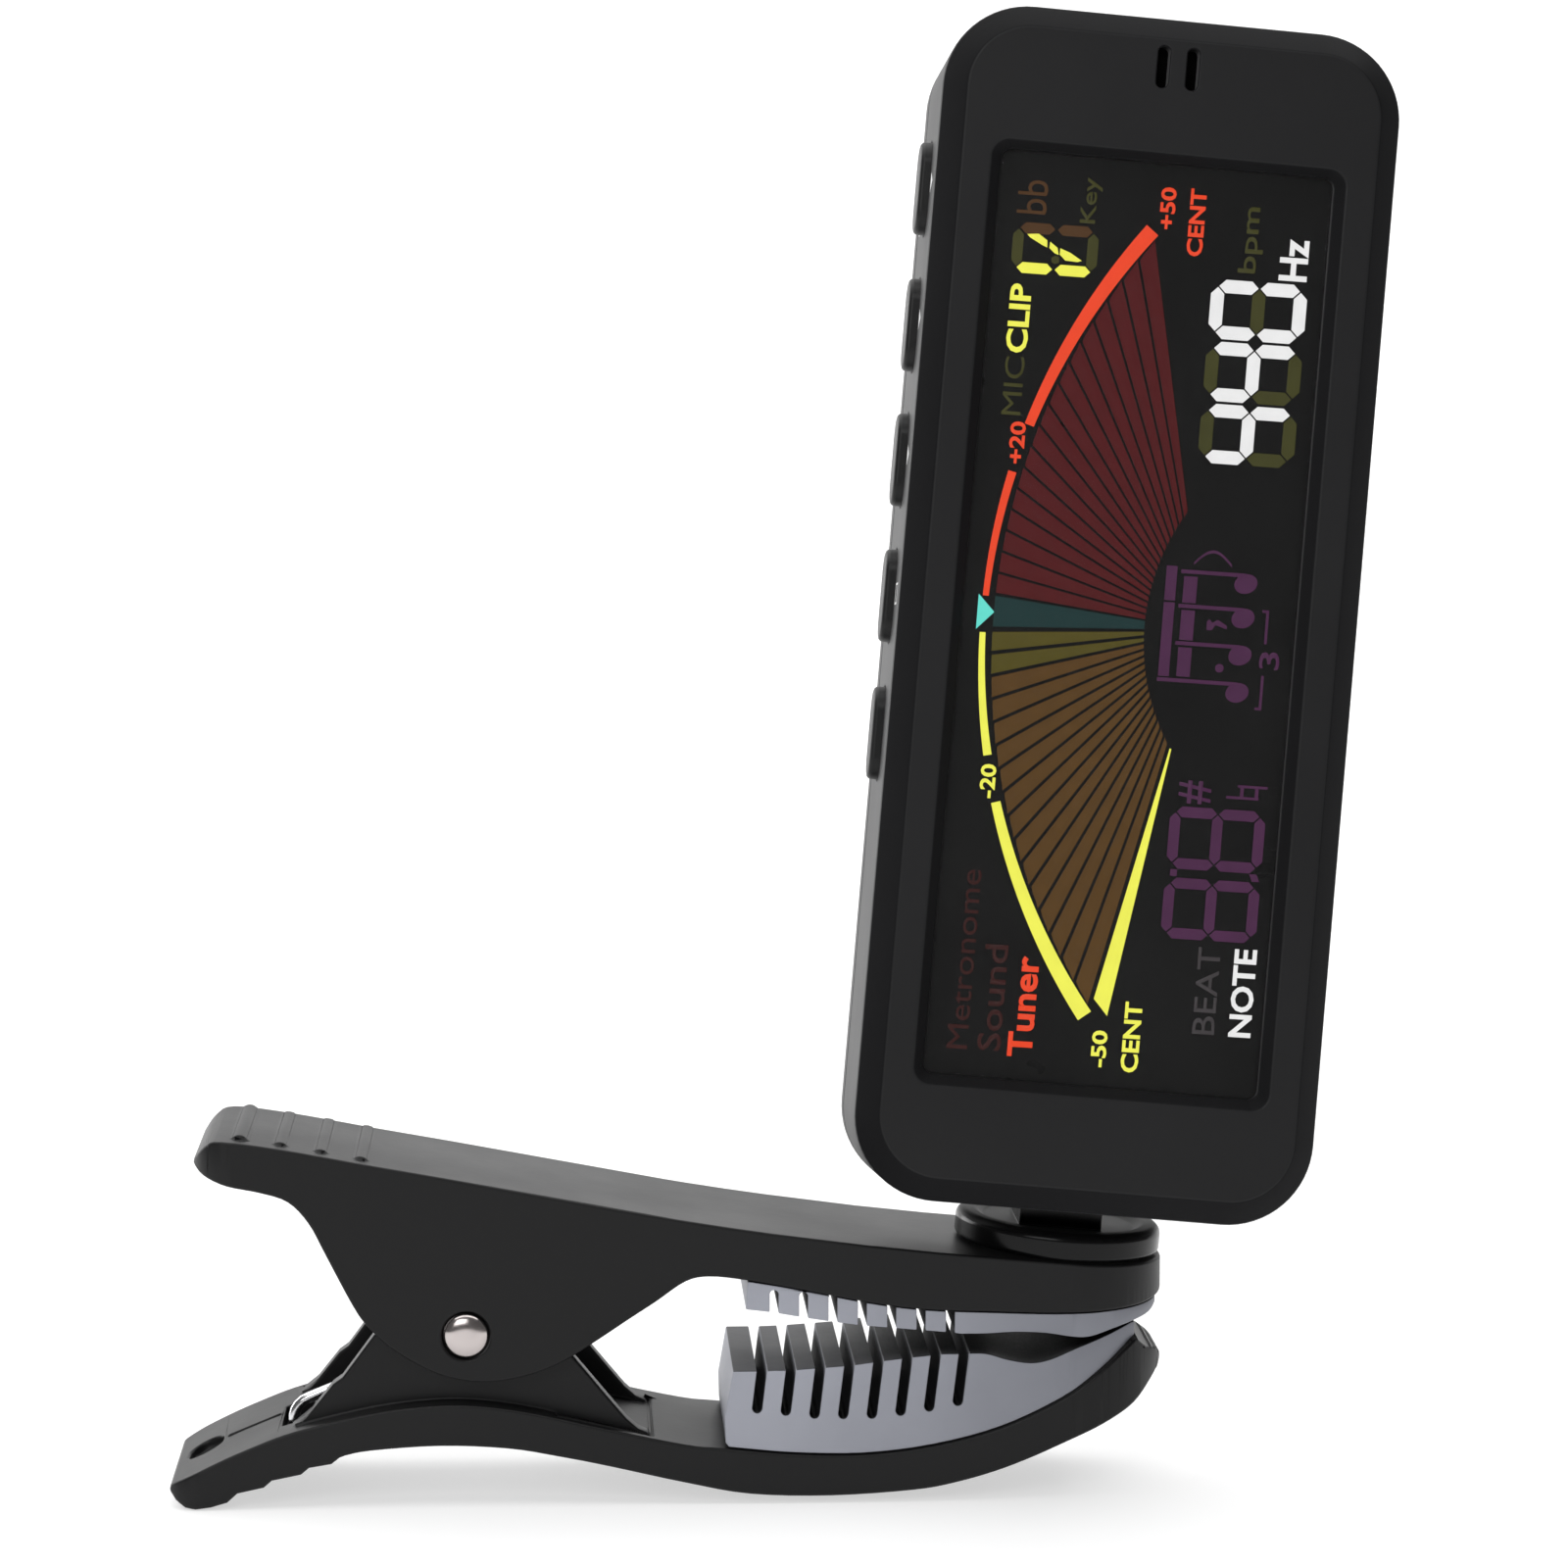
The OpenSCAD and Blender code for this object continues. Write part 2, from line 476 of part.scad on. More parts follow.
module side_button(b) {
  color([0.08, 0.08, 0.085]) head_frame() translate([0, btn_depth, head_l - b]) {
    stadium_x(btn_l, btn_w, -head_w / 2 - btn_up, -head_w / 2 + 1.7);
    stadium_x(btn_l + 0.9, btn_w + 0.9, -head_w / 2 + 1.65, -head_w / 2 + 2.05);
  }
}
module power_button() { side_button(btn_top[0]); }
module raise_button() { side_button(btn_top[1]); }
module lower_button() { side_button(btn_top[2]); }
module screen_button() { side_button(btn_top[3]); }
module mode_button() { side_button(btn_top[4]); }

lower_arm();
lower_pad();
pivot_rivet();
torsion_spring();
upper_arm();
upper_pad();
swivel_base();
swivel_washer();
swivel_screw();
front_shell();
rear_shell();
hinge_pin();
hinge_washers();
display_window();
lcd_panel();
lcd_backlight();
zebra_strip();
main_board();
controller_chip();
switch_board();
tact_switches();
mic_capsule();
buzzer();
piezo_sensor();
battery_contacts();
battery_cells();
case_screws();
battery_door();
power_button();
raise_button();
lower_button();
screen_button();
mode_button();
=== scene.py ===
import bpy, bmesh, math, json, random
from mathutils import Vector, Matrix


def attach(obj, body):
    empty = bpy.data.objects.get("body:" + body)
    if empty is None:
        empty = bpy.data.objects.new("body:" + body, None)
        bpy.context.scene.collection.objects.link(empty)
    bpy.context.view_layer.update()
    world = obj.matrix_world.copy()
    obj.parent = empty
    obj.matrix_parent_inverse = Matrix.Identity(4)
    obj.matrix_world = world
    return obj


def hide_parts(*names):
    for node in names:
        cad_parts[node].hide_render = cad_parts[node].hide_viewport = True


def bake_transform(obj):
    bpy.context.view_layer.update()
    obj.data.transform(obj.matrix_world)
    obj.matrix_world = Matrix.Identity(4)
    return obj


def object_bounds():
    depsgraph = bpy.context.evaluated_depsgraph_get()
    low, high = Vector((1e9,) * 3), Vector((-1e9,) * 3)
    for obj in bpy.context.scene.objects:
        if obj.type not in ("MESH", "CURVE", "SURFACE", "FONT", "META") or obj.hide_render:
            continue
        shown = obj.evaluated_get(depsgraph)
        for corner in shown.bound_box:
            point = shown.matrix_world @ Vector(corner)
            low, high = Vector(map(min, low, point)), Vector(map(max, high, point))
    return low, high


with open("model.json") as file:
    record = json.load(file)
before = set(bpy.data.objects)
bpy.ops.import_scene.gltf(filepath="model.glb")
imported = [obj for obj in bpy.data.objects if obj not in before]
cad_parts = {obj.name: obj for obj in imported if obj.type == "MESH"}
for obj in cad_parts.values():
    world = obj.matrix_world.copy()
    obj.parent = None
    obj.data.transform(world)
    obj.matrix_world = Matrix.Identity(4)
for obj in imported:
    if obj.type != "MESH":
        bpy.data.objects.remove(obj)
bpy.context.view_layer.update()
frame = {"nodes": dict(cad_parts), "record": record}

N = frame["nodes"]
MM = 0.001
scene = bpy.context.scene
coll = scene.collection

# ------------------------------------------------------------------ frames
# clip frame (centre of the swivel disc's top) and head frame, as the CAD has them
G = Vector((24.1, 0.0, 10.1))
TILT, LEAN = math.radians(5.3), math.radians(7.0)
PIN_W, PIN_V, PIN_H = 14.1, 4.0, 5.05
HEAD_L, HEAD_W, HEAD_D, FRONT_D = 87.6, 33.8, 18.3, 13.1
M_CLIP = Matrix.Translation(G)
M_SWIVEL = M_CLIP @ Matrix.Rotation(TILT, 4, "Y")
M_HEAD = (M_SWIVEL @ Matrix.Translation((-0.17, 0, PIN_H)) @ Matrix.Rotation(-LEAN, 4, "X")
          @ Matrix.Translation((0, -PIN_W, -PIN_V)))


def to_m(M):
    """A millimetre placement as a metre placement."""
    S = Matrix.Scale(MM, 4)
    return S @ M


# ------------------------------------------------------------------ materials
def mat(name):
    m = bpy.data.materials.new(name)
    m.use_nodes = True
    nt = m.node_tree
    for n in list(nt.nodes):
        nt.nodes.remove(n)
    out = nt.nodes.new("ShaderNodeOutputMaterial")
    b = nt.nodes.new("ShaderNodeBsdfPrincipled")
    nt.links.new(b.outputs["BSDF"], out.inputs["Surface"])
    return m, nt, b


def coords(nt, scale=1.0):
    t = nt.nodes.new("ShaderNodeTexCoord")
    mp = nt.nodes.new("ShaderNodeMapping")
    mp.inputs["Scale"].default_value = (scale, scale, scale)
    nt.links.new(t.outputs["Object"], mp.inputs["Vector"])
    return mp.outputs["Vector"]


def noise(nt, vec, scale, detail=3.0, rough=0.55):
    n = nt.nodes.new("ShaderNodeTexNoise")
    n.inputs["Scale"].default_value = scale
    n.inputs["Detail"].default_value = detail
    n.inputs["Roughness"].default_value = rough
    nt.links.new(vec, n.inputs["Vector"])
    return n.outputs["Fac"]


def ramp(nt, fac, stops):
    r = nt.nodes.new("ShaderNodeValToRGB")
    e = r.color_ramp.elements
    e[0].position, e[0].color = stops[0][0], (*stops[0][1], 1)
    e[1].position, e[1].color = stops[-1][0], (*stops[-1][1], 1)
    for p, c in stops[1:-1]:
        x = e.new(p)
        x.color = (*c, 1)
    nt.links.new(fac, r.inputs["Fac"])
    return r.outputs["Color"]


def remap(nt, fac, a, b, lo=0.0, hi=1.0):
    r = nt.nodes.new("ShaderNodeMapRange")
    r.inputs["From Min"].default_value = lo
    r.inputs["From Max"].default_value = hi
    r.inputs["To Min"].default_value = a
    r.inputs["To Max"].default_value = b
    nt.links.new(fac, r.inputs["Value"])
    return r.outputs["Result"]


def bump(nt, b, height, strength, dist):
    n = nt.nodes.new("ShaderNodeBump")
    n.inputs["Strength"].default_value = strength
    n.inputs["Distance"].default_value = dist
    nt.links.new(height, n.inputs["Height"])
    nt.links.new(n.outputs["Normal"], b.inputs["Normal"])
    return n


def painted_crevice_shade(nt, b, dist, lo=0.2, hi=0.8, floor=0.03, shine=0.3, top_shade=None):
    """Painted shade: darkens the colour and the shine where other surfaces close in on it. Given a top value, it also
    darkens the colour on faces that look up and towards the nose.
    """
    ao = nt.nodes.new("ShaderNodeAmbientOcclusion")
    ao.inputs["Distance"].default_value = dist
    ao.samples = 8
    k = remap(nt, ao.outputs["AO"], floor, 1.0, lo, hi)
    src = b.inputs["Base Color"].links[0].from_socket
    if top_shade is not None:
        # painted shade: the colour of faces that look up is darkened
        geo = nt.nodes.new("ShaderNodeNewGeometry")
        sep = nt.nodes.new("ShaderNodeSeparateXYZ")
        nt.links.new(geo.outputs["Normal"], sep.inputs[0])
        t = remap(nt, sep.outputs["Z"], 1.0, top_shade, 0.45, 0.85)
        mul = nt.nodes.new("ShaderNodeMath")
        mul.operation = "MULTIPLY"
        nt.links.new(k, mul.inputs[0])
        nt.links.new(t, mul.inputs[1])
        k = mul.outputs[0]
        # painted shade: the colour darkens towards the nose, standing in for the light fading from the left, matched to
        # the photograph
        tc = nt.nodes.new("ShaderNodeTexCoord")
        at = nt.nodes.new("ShaderNodeSeparateXYZ")
        nt.links.new(tc.outputs["Object"], at.inputs[0])
        fall = nt.nodes.new("ShaderNodeMath")
        fall.operation = "MULTIPLY"
        nt.links.new(k, fall.inputs[0])
        nt.links.new(remap(nt, at.outputs["X"], 1.03, 0.64, 0.004, 0.026), fall.inputs[1])
        k = fall.outputs[0]
    sc = nt.nodes.new("ShaderNodeVectorMath")
    sc.operation = "SCALE"
    nt.links.new(src, sc.inputs[0])
    nt.links.new(k, sc.inputs["Scale"])
    nt.links.new(sc.outputs[0], b.inputs["Base Color"])
    # painted shade on the shine too: the reflections are cut where surfaces close in
    b.inputs["Specular IOR Level"].default_value = shine
    nt.links.new(remap(nt, ao.outputs["AO"], floor * shine, shine, lo, hi), b.inputs["Specular IOR Level"])
    return k


def grey(v):
    return (v, v, v)


def moulded(name, base, rough, var=0.15, grain=1800.0, strength=0.25, dist=0.00003, spec=0.5, blotch=60.0, edge=None):
    """Moulded plastic: spark-eroded grain, faint sink and handling variation in colour and gloss."""
    m, nt, b = mat(name)
    v = coords(nt)
    big = noise(nt, v, blotch, 4.0)
    fine = noise(nt, v, grain, 2.0, 0.6)
    lo = tuple(c * (1 - var) for c in base)
    hi = tuple(c * (1 + var) for c in base)
    col = ramp(nt, big, [(0.3, lo), (0.7, hi)])
    nt.links.new(col, b.inputs["Base Color"])
    nt.links.new(remap(nt, big, rough - 0.04, rough + 0.05, 0.3, 0.7), b.inputs["Roughness"])
    b.inputs["Specular IOR Level"].default_value = spec
    bump(nt, b, fine, strength, dist)
    return m


def metal(name, base, rough, scale=(1, 1, 1), strength=0.15, scratch=900.0):
    m, nt, b = mat(name)
    t = nt.nodes.new("ShaderNodeTexCoord")
    mp = nt.nodes.new("ShaderNodeMapping")
    mp.inputs["Scale"].default_value = scale
    nt.links.new(t.outputs["Object"], mp.inputs["Vector"])
    f = noise(nt, mp.outputs["Vector"], scratch, 3.0)
    big = noise(nt, mp.outputs["Vector"], 200.0, 2.0)
    col = ramp(nt, big, [(0.3, tuple(c * 0.9 for c in base)), (0.7, base)])
    nt.links.new(col, b.inputs["Base Color"])
    b.inputs["Metallic"].default_value = 1.0
    nt.links.new(remap(nt, f, rough * 0.8, rough * 1.25, 0.35, 0.65), b.inputs["Roughness"])
    bump(nt, b, f, strength, 0.00001)
    return m


M = {}
M["plastic_black"] = moulded("clip_black_abs", (0.0062, 0.0062, 0.0066), 0.42, var=0.12, strength=0.22, spec=0.25)


def swivel_mat():
    """Glossier on its sides than on top, a shade matched to the photograph."""
    m, nt, b = mat("swivel_black_acetal")
    v = coords(nt)
    f = noise(nt, v, 90.0, 3.0)
    nt.links.new(ramp(nt, f, [(0.3, (0.0035, 0.0035, 0.0037)), (0.7, (0.0045, 0.0045, 0.0047))]), b.inputs["Base Color"])
    geo = nt.nodes.new("ShaderNodeNewGeometry")
    sep = nt.nodes.new("ShaderNodeSeparateXYZ")
    nt.links.new(geo.outputs["Normal"], sep.inputs[0])
    nt.links.new(remap(nt, sep.outputs["Z"], 0.2, 0.5, 0.4, 0.9), b.inputs["Roughness"])
    b.inputs["Specular IOR Level"].default_value = 0.2
    return m


M["plastic_swivel"] = swivel_mat()


HEAD_FRONT = (M_HEAD.to_3x3() @ Vector((0, -1, 0))).normalized()


def case():
    m, nt, b = mat("case_charcoal_abs")
    v = coords(nt)
    big = noise(nt, v, 60.0, 4.0)
    fine = noise(nt, v, 2200.0, 2.0, 0.6)
    col = ramp(nt, big, [(0.3, (0.0095, 0.0095, 0.0102)), (0.7, (0.0112, 0.0112, 0.0120))])
    nt.links.new(col, b.inputs["Base Color"])
    nt.links.new(remap(nt, big, 0.44, 0.5, 0.3, 0.7), b.inputs["Roughness"])
    # painted shade: the shine is cut to about an eighth on the chamfer round the front face, picked out by which way it
    # faces, so the bevel reads dark
    tc = nt.nodes.new("ShaderNodeTexCoord")
    dot = nt.nodes.new("ShaderNodeVectorMath")
    dot.operation = "DOT_PRODUCT"
    nt.links.new(tc.outputs["Normal"], dot.inputs[0])
    dot.inputs[1].default_value = tuple(HEAD_FRONT)
    chamfer_shade = ramp(nt, dot.outputs["Value"], [(0.30, grey(1.0)), (0.45, grey(0.12)), (0.85, grey(0.12)), (0.96, grey(1.0))])
    sp = nt.nodes.new("ShaderNodeMath")
    sp.operation = "MULTIPLY"
    nt.links.new(chamfer_shade, sp.inputs[0])
    sp.inputs[1].default_value = 0.25
    b.inputs["Specular IOR Level"].default_value = 0.2
    nt.links.new(sp.outputs[0], b.inputs["Specular IOR Level"])
    bump(nt, b, fine, 0.2, 0.00003)
    return m


M["plastic_case"] = case()
M["plastic_button"] = moulded("side_key_rubber", (0.004, 0.004, 0.0043), 0.45, var=0.1, strength=0.25, spec=0.35)
M["rubber_grey"] = moulded("pad_silicone_grey", (0.36, 0.37, 0.42), 0.48, var=0.08, grain=1300.0, strength=0.3, dist=0.00005, spec=0.4, blotch=90.0)
# painted shade on the grey pads: dark in the gaps between the jaws, on the tops of the teeth and towards the nose
painted_crevice_shade(M["rubber_grey"].node_tree, M["rubber_grey"].node_tree.nodes["Principled BSDF"], 0.0045, 0.3, 0.85, 0.02, top_shade=0.13)
M["rivet_metal"] = metal("rivet_nickel", (0.55, 0.5, 0.49), 0.18)
M["spring_steel"] = metal("spring_wire_steel", (0.75, 0.75, 0.77), 0.2, scratch=1500.0)
M["mic_dark"] = moulded("mic_mesh_black", (0.002, 0.002, 0.002), 0.9, spec=0.05)
M["steel"] = metal("plated_steel", (0.62, 0.62, 0.63), 0.3)
M["screw_black"] = metal("screw_black_zinc", (0.06, 0.06, 0.065), 0.35)
M["nylon"] = moulded("washer_nylon", (0.012, 0.012, 0.012), 0.5, var=0.05)
M["lcd_glass"] = moulded("lcd_negative_glass", (0.0135, 0.0135, 0.0135), 0.3, var=0.05, strength=0.0, spec=0.3)
M["backlight"] = moulded("light_guide_white", (0.8, 0.8, 0.78), 0.3, var=0.03)
M["zebra_rubber"] = moulded("contact_strip_rubber", (0.4, 0.25, 0.32), 0.6)
M["circuit_board"] = moulded("board_green_mask", (0.02, 0.12, 0.05), 0.35, var=0.3, blotch=400.0)
M["chip_black"] = moulded("chip_epoxy", (0.015, 0.015, 0.015), 0.55)
M["piezo_brass"] = metal("piezo_brass_disc", (0.8, 0.6, 0.25), 0.3)
M["cell_wrap"] = metal("cell_plain_wrap", (0.2, 0.2, 0.22), 0.35)


def lens():
    m, nt, b = mat("window_acrylic")
    v = coords(nt)
    f = noise(nt, v, 120.0, 3.0)
    nt.links.new(ramp(nt, f, [(0.3, (0.006, 0.006, 0.006)), (0.7, (0.008, 0.008, 0.008))]), b.inputs["Base Color"])
    nt.links.new(remap(nt, f, 0.04, 0.09, 0.3, 0.7), b.inputs["Roughness"])
    b.inputs["Alpha"].default_value = 0.12
    b.inputs["Specular IOR Level"].default_value = 0.5
    return m


M["window_lens"] = lens()


def glow(name, rgb, strength=1.0, var=0.06, base=None):
    """A lit display segment: its colour shines evenly, with the faint mottle of a colour film."""
    m, nt, b = mat(name)
    v = coords(nt)
    f = noise(nt, v, 700.0, 2.0)
    lo = tuple(c * (1 - var) for c in rgb)
    col = ramp(nt, f, [(0.3, lo), (0.7, rgb)])
    b.inputs["Base Color"].default_value = (0.01, 0.01, 0.01, 1)
    nt.links.new(col, b.inputs["Emission Color"])
    b.inputs["Emission Strength"].default_value = strength
    b.inputs["Roughness"].default_value = 0.4
    b.inputs["Specular IOR Level"].default_value = 0.2
    return m


def srgb(r, g, b):
    f = lambda c: (c / 255 / 12.92) if c / 255 <= 0.04045 else ((c / 255 + 0.055) / 1.055) ** 2.4
    return (f(r), f(g), f(b))


slot_of = {s["node"]: s["material_slot"] for s in frame["record"]["subparts"]}
for n, o in N.items():
    o.data.materials.clear()
    o.data.materials.append(M["mic_dark" if n == "mic_capsule" else slot_of[n]])


# ------------------------------------------------------------------ helpers for pieces
def link(name, me, material, body, M4=None, smooth=False, ride=True):
    o = bpy.data.objects.new(name, me)
    coll.objects.link(o)
    if M4 is not None:
        me.transform(M4)
    if material is not None:
        me.materials.append(material)
    if smooth:
        for p in me.polygons:
            p.use_smooth = True
    if ride:
        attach(o, body)
    return o


def soften(o, width, segs=3, angle=32, weld=True, planar=True, clamp=False):
    """Rounded moulded edges on a CAD node."""
    if weld:
        w = o.modifiers.new("weld", "WELD")
        w.merge_threshold = 0.000004
    if planar:
        d = o.modifiers.new("flat", "DECIMATE")
        d.decimate_type = "DISSOLVE"
        d.angle_limit = math.radians(0.6)
    if width:
        b = o.modifiers.new("edge", "BEVEL")
        b.width = width * MM
        b.segments = segs
        b.limit_method = "ANGLE"
        b.angle_limit = math.radians(angle)
        b.miter_outer = "MITER_ARC"
        b.use_clamp_overlap = clamp
        b.harden_normals = False
    for p in o.data.polygons:
        p.use_smooth = True
    s = o.modifiers.new("normals", "WEIGHTED_NORMAL")
    s.keep_sharp = False
    s.weight = 60


soften(N["lower_arm"], 0.22, 3, angle=40)
soften(N["upper_arm"], 0.2, 3, angle=34)
soften(N["lower_pad"], 0.09, 2, angle=40)
soften(N["upper_pad"], 0.08, 2, angle=40)
soften(N["swivel_base"], 0.12, 2)
soften(N["front_shell"], 0.14, 3, angle=25)
soften(N["rear_shell"], 0.12, 2, angle=40)
# the door keeps its CAD edges: a bevel tears round its small grip
for p in N["battery_door"].data.polygons:
    p.use_smooth = False
for b in ("power", "raise", "lower", "screen", "mode"):
    soften(N[b + "_button"], 0.35, 3)
for n in ("pivot_rivet", "case_screws", "hinge_pin", "display_window"):
    soften(N[n], 0.06, 2)

# ------------------------------------------------------------------ display graphics
# Head-front plane: u to the right, v up from the middle of the front face, in mm
LCD_Z = 1.42   # depth behind the front face of the lit layer


def P(u, v, w=LCD_Z):
    # drawing coordinates to the head's own
    return (0.9907 * u - 0.0023 * v + 0.09, w, 0.0193 * u + 0.9912 * v - 0.045 + HEAD_L / 2)


class Art:
    """Flat closed shapes of one colour, made into one thin solid."""

    def __init__(self, name, material, w0=1.405, w1=1.44):
        self.name, self.material, self.w0, self.w1 = name, material, w0, w1
        self.bm = bmesh.new()

    def poly(self, pts):
        """A filled outline, given once round, as a closed thin solid."""
        area = sum(pts[i - 1][0] * pts[i][1] - pts[i][0] * pts[i - 1][1] for i in range(len(pts)))
        if area < 0:
            pts = pts[::-1]
        bm = self.bm
        f = [bm.verts.new(P(u, v, self.w0)) for u, v in pts]
        r = [bm.verts.new(P(u, v, self.w1)) for u, v in pts]
        bm.faces.new(f)
        bm.faces.new(r[::-1])
        k = len(pts)
        for i in range(k):
            j = (i + 1) % k
            bm.faces.new((f[j], f[i], r[i], r[j]))

    def done(self, body="head"):
        bmesh.ops.recalc_face_normals(self.bm, faces=self.bm.faces)
        me = bpy.data.meshes.new(self.name)
        self.bm.to_mesh(me)
        self.bm.free()
        return link(self.name, me, self.material, body, to_m(M_HEAD))


def arc_pts(c, r, a0, a1, n):
    return [(c[0] + r * math.cos(a0 + (a1 - a0) * i / n), c[1] + r * math.sin(a0 + (a1 - a0) * i / n)) for i in range(n + 1)]


def seg_poly(a, b, w, point=True):
    """A display segment from a to b with pointed ends."""
    a, b = Vector(a), Vector(b)
    d = (b - a)
    L = d.length
    d /= L
    n = Vector((-d.y, d.x))
    h = w / 2
    if point:
        return [tuple(a), tuple(a + d * h + n * h), tuple(b - d * h + n * h), tuple(b), tuple(b - d * h - n * h), tuple(a + d * h - n * h)]
    return [tuple(a + n * h), tuple(b + n * h), tuple(b - n * h), tuple(a - n * h)]


# glyph frame: text runs up the head (x -> +v), its top faces left (y -> -u)
def seven(digit, base_u, left_v, height, width, w, lit, dim, gap=0.16):
    """A seven-segment digit. base_u: u of its foot; left_v: v of its left side."""
    H, W = height, width
    def T(x, y):
        return (base_u - y, left_v + x)
    h = w / 2
    segs = {
        "a": ((h, H - h), (W - h, H - h)), "g": ((h, H / 2), (W - h, H / 2)), "d": ((h, h), (W - h, h)),
        "f": ((h, H / 2), (h, H - h)), "b": ((W - h, H / 2), (W - h, H - h)),
        "e": ((h, h), (h, H / 2)), "c": ((W - h, h), (W - h, H / 2))}
    on = {"0": "abcdef", "4": "fgbc", "8": "abcdefg", "": ""}[digit]
    for k, (p, q) in segs.items():
        p, q = Vector(p), Vector(q)
        d = (q - p).normalized() * gap / 2
        art = lit if k in on else dim
        if art is not None:
            art.poly([T(*c) for c in seg_poly(p + d, q - d, w)])


def words(name, text, u, v, height, material, length=None, bold=0.012, anchor="CENTER", spread=1.0, rot=90):
    """Text on the display, centred on (u, v), reading up the head, as a thin solid."""
    cu = bpy.data.curves.new(name, "FONT")
    cu.body = text
    cu.align_x = "CENTER"
    cu.align_y = "CENTER"
    cu.size = 1.0
    cu.offset = bold
    cu.resolution_u = 3
    cu.space_character = spread
    tmp = bpy.data.objects.new(name + "_t", cu)
    coll.objects.link(tmp)
    bpy.context.view_layer.update()
    dg = bpy.context.evaluated_depsgraph_get()
    me = bpy.data.meshes.new_from_object(tmp.evaluated_get(dg))
    bpy.data.objects.remove(tmp)
    xs = [p.co.x for p in me.vertices]
    ys = [p.co.y for p in me.vertices]
    cx, cy = (min(xs) + max(xs)) / 2, (min(ys) + max(ys)) / 2
    k = height / (max(ys) - min(ys))
    kx = k if length is None else length / (max(xs) - min(xs))
    bm = bmesh.new()
    bm.from_mesh(me)
    bmesh.ops.remove_doubles(bm, verts=bm.verts, dist=1e-5)
    for p in bm.verts:
        x, y = (p.co.x - cx) * kx, (p.co.y - cy) * k
        p.co = Vector(P(u - y, v + x, 1.405)) if rot == 90 else Vector(P(u + x, v + y, 1.405))
    res = bmesh.ops.extrude_face_region(bm, geom=bm.faces[:])
    up = [g for g in res["geom"] if isinstance(g, bmesh.types.BMVert)]
    for p in up:
        p.co.y += 0.035
    bmesh.ops.recalc_face_normals(bm, faces=bm.faces)
    out = bpy.data.meshes.new(name)
    bm.to_mesh(out)
    bm.free()
    return link(name, out, material, "head", to_m(M_HEAD))


GLOW = {
    "yellow": glow("lcd_yellow", srgb(255, 255, 96), 1.15),
    "orange": glow("lcd_orange", srgb(252, 78, 44), 1.1),
    "white": glow("lcd_white", srgb(252, 252, 252), 1.12),
    "cyan": glow("lcd_cyan", srgb(110, 238, 222), 1.1),
    "olive": glow("lcd_dim_olive", srgb(72, 72, 34), 1.0, 0.15),
    "brownish": glow("lcd_dim_amber", srgb(88, 60, 34), 1.0, 0.15),
    "purple": glow("lcd_dim_purple", srgb(84, 44, 80), 1.0, 0.15),
    "greydim": glow("lcd_dim_grey", srgb(72, 68, 70), 1.0, 0.15),
    "reddim": glow("lcd_dim_red", srgb(62, 28, 26), 1.0, 0.15),
    "fanred": glow("lcd_fan_red", srgb(88, 22, 25), 1.0, 0.12),
    "fanbrown": glow("lcd_fan_brown", srgb(96, 68, 30), 1.0, 0.12),
    "fanteal": glow("lcd_fan_teal", srgb(28, 58, 58), 1.0, 0.1),
    "fanolive": glow("lcd_fan_olive", srgb(90, 82, 28), 1.0, 0.1),
}

# gauge arc: thin at the centre mark, thick at both ends
AC, AR = (36.5, -0.7), 47.3


def gauge(art, v0, v1, n=28):
    outer, inner = [], []
    for i in range(n + 1):
        v = v0 + (v1 - v0) * i / n
        s = (v - AC[1]) / AR
        a = math.pi - math.asin(s)
        t = 0.42 + 0.75 * (abs(v - AC[1]) / 29.5) ** 1.3
        outer.append((AC[0] + (AR + t / 2) * math.cos(a), AC[1] + (AR + t / 2) * math.sin(a)))
        inner.append((AC[0] + (AR - t / 2) * math.cos(a), AC[1] + (AR - t / 2) * math.sin(a)))
    art.poly(outer + inner[::-1])


y = Art("lcd_gauge_yellow", GLOW["yellow"])
gauge(y, -10.95, -1.95)
gauge(y, -29.6, -14.35)
# the needle
y.poly([(3.72, -9.55), (3.84, -9.6), (0.72, -29.5), (-0.36, -28.3)])
y.done()
o_ = Art("lcd_gauge_orange", GLOW["orange"])
gauge(o_, 0.75, 10.0)
gauge(o_, 13.5, 28.5)
o_.done()
c_ = Art("lcd_centre_mark", GLOW["cyan"])
c_.poly([(-11.3, -1.75), (-11.3, 0.85), (-10.05, -0.42)])
c_.done()

# fan under the arc: wedges between an inner and an outer edge
FC = (17.3, -0.7)


def ray(v, off):
    """The ray of the fan that leaves the gauge at v, moved sideways by off: its outer and inner ends."""
    s = (v - AC[1]) / AR
    a = math.pi - math.asin(s)
    q = Vector((AC[0] + (AR - 0.72) * math.cos(a), AC[1] + (AR - 0.72) * math.sin(a)))
    fpt = Vector((5.45, -0.7))
    d = (fpt - q).normalized()
    rel = q - Vector(FC)
    bq, cq = rel.dot(d), rel.length_squared - 16.2 ** 2
    disc = bq * bq - cq
    tt = (-bq - math.sqrt(disc)) if disc > 0 and (-bq - math.sqrt(disc)) > 0 else (fpt - q).length * 0.95
    n = Vector((-d.y, d.x)) * off
    e = q + d * tt
    return q + n, e + n * 0.75


def wedge(art, v0, v1, gap, n=3):
    outer, inner = [], []
    for i in range(n + 1):
        v = v0 + (v1 - v0) * i / n
        off = 0.0 if 0 < i < n else (gap / 2 if i == 0 else -gap / 2)
        o1, i1 = ray(v, off)
        outer.append(tuple(o1))
        inner.append(tuple(i1))
    art.poly(outer + inner[::-1])


def wedges(art, v0, v1, count, gap):
    step = (v1 - v0) / count
    for i in range(count):
        wedge(art, v0 + i * step, v0 + (i + 1) * step, gap)


